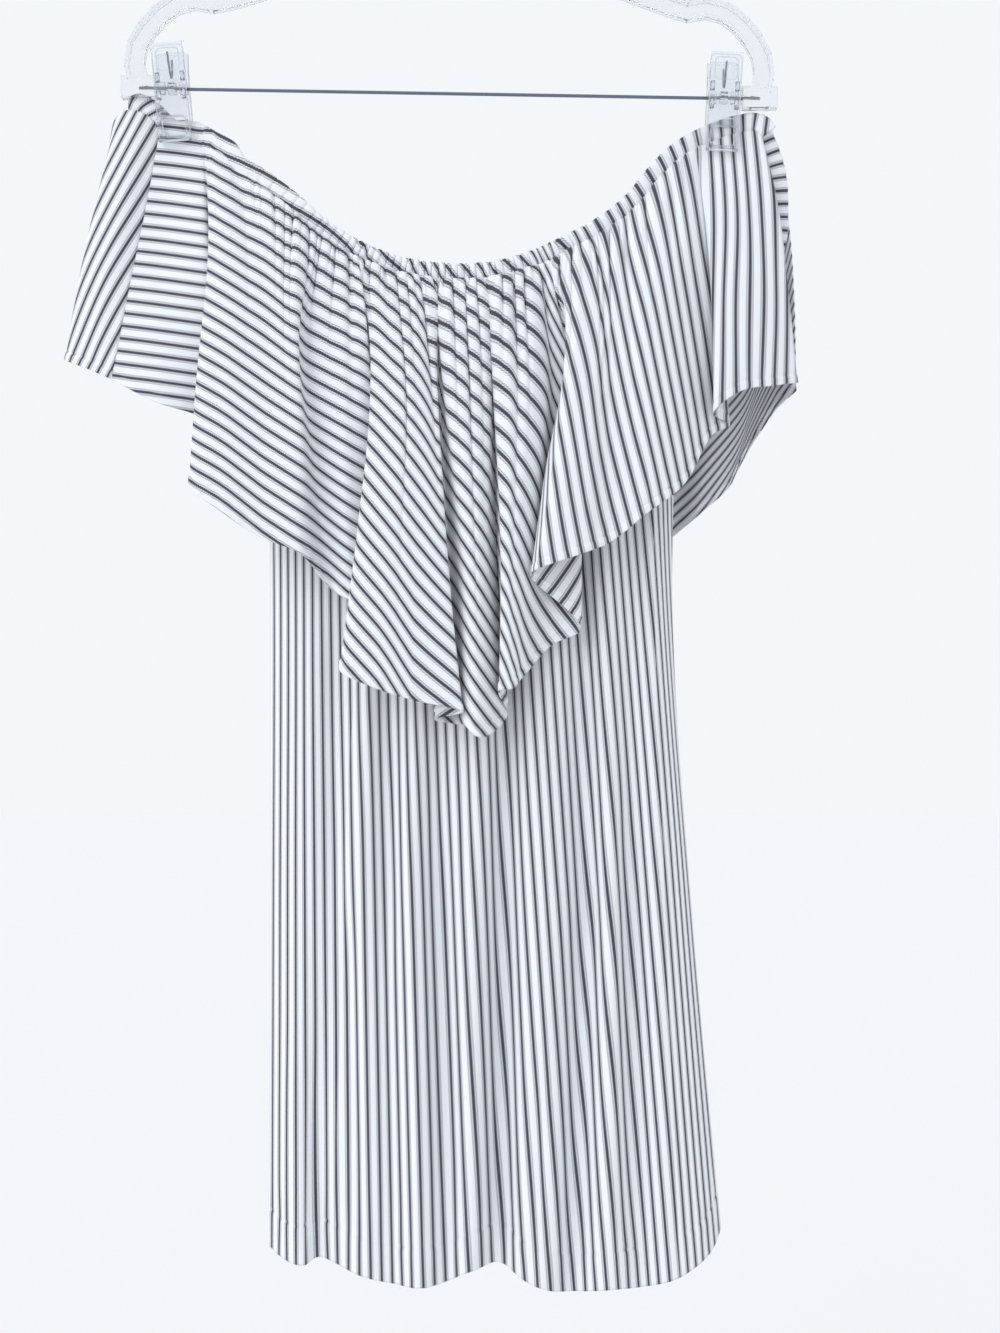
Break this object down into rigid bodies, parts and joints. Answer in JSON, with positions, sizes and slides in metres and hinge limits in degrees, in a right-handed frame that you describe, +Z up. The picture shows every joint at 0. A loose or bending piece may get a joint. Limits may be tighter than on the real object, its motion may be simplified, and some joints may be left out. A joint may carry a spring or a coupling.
{
  "type": "off-shoulder dress on a clip hanger",
  "caption": "Straight off-shoulder dress with an elastic neck casing and one wide flounce, hung by two clips from a clear hanger with a wire hook.",
  "frame": {"origin": "point of the hook's inner bend that rests on a rail", "axes": "+Z up, +X across the garment to the right as seen from the front, +Y from front to back"},
  "size_m": [0.4845, 0.1272, 0.9941],
  "materials": {
    "cloth": "matt twill",
    "clear_plastic": "clear and glossy",
    "steel": "bright"
  },
  "bodies": {
    "root": {"body_front": "cloth", "body_back": "cloth", "flounce_front": "cloth", "flounce_back": "cloth", "neck_casing_front": "cloth", "neck_casing_back": "cloth", "hanger_frame": "clear_plastic", "hanger_rod": "steel", "hanger_hook": "steel", "clip_left_front": "clear_plastic", "clip_left_back": "clear_plastic", "clip_left_spring": "steel", "clip_right_front": "clear_plastic", "clip_right_back": "clear_plastic", "clip_right_spring": "steel"}
  },
  "joints": []
}
